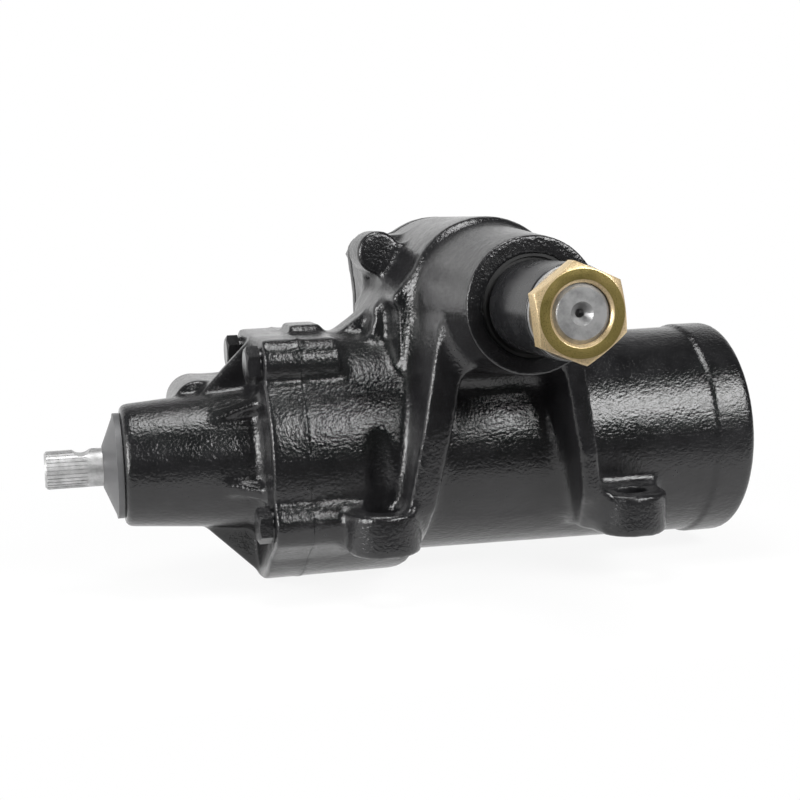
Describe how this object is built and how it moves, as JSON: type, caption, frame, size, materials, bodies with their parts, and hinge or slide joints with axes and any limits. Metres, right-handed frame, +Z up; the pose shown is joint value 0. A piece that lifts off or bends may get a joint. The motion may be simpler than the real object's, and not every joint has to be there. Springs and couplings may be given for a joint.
{
  "type": "steering gearbox",
  "caption": "Power steering gearbox: cast housing with cylinder, valve housing and mounting ears; splined input shaft drives a worm, ball rack and sector shaft with a gold nut.",
  "frame": {"origin": "midway between the two front mounting holes, on the lower face of their ears", "axes": "+X along the rack cylinder, away from the input shaft; +Y from the sector shaft's nut towards the side cover; +Z up"},
  "size_m": [0.3581, 0.2595, 0.1816],
  "materials": {
    "black_casting": "glossy black paint over rough cast iron",
    "machined_steel": "machined",
    "dark_steel": "black oxide",
    "gold_zinc": "yellow zinc plate on steel",
    "bronze": "satin",
    "rubber": "matte",
    "black_plastic": "smooth moulded",
    "seal_plastic": "smooth"
  },
  "bodies": {
    "housing": {"main_housing": "black_casting", "valve_housing": "black_casting", "valve_housing_bolts": "dark_steel", "housing_joint_seal": "rubber", "side_cover": "black_casting", "side_cover_gasket": "rubber", "side_cover_bolts": "dark_steel", "lash_adjuster": "machined_steel", "adjuster_locknut": "machined_steel", "cover_bushing": "bronze", "sector_needle_bearing": "machined_steel", "sector_seal": "rubber", "sector_seal_washer": "machined_steel", "sector_seal_clip": "dark_steel", "sector_dust_seal": "rubber", "end_plug": "black_casting", "end_plug_seal": "rubber", "end_plug_clip": "dark_steel", "input_needle_bearing": "machined_steel", "input_seal": "rubber", "input_seal_clip": "dark_steel", "pressure_port_seat": "bronze", "return_port_seat": "bronze", "upper_thrust_bearing": "dark_steel", "lower_thrust_bearing": "dark_steel", "bearing_retainer": "dark_steel"},
    "sector": {"sector_shaft": "machined_steel", "adjuster_retainer": "machined_steel", "spline_sleeve": "black_plastic", "pitman_lock_washer": "machined_steel", "pitman_nut": "gold_zinc"},
    "rack": {"rack_piston": "machined_steel", "piston_seal": "seal_plastic", "piston_seal_backup": "rubber", "piston_plug": "machined_steel", "recirculating_balls": "machined_steel", "ball_guide_front": "dark_steel", "ball_guide_rear": "dark_steel", "guide_clamp": "dark_steel", "guide_clamp_screws": "dark_steel"},
    "worm": {"worm_shaft": "machined_steel", "valve_sleeve": "machined_steel", "valve_sleeve_rings": "seal_plastic", "worm_pin": "dark_steel"},
    "input": {"input_shaft": "machined_steel", "torsion_bar": "machined_steel", "drive_pin": "dark_steel", "input_dust_cap": "black_plastic"}
  },
  "joints": [
    {"name": "sector_turn", "type": "hinge", "parent": "housing", "child": "sector", "pos_m": [-0.003, 0, 0.118], "axis": [0, -1, 0], "range_deg": [-36, 36]},
    {"name": "rack_slide", "type": "slide", "parent": "housing", "child": "rack", "axis": [1, 0, 0], "range_m": [-0.0265, 0.0265]},
    {"name": "worm_turn", "type": "hinge", "parent": "housing", "child": "worm", "pos_m": [0, 0.067, 0.039], "axis": [1, 0, 0], "range_deg": [-505, 505]},
    {"name": "valve_twist", "type": "hinge", "parent": "worm", "child": "input", "pos_m": [0, 0.067, 0.039], "axis": [1, 0, 0], "range_deg": [-4, 4], "stiffness_Nm_per_rad": 60}
  ],
  "couplings": [
    {"joint": "rack_slide", "follows": "sector_turn", "m_per_rad": 0.042},
    {"joint": "worm_turn", "follows": "sector_turn", "ratio": -14}
  ]
}
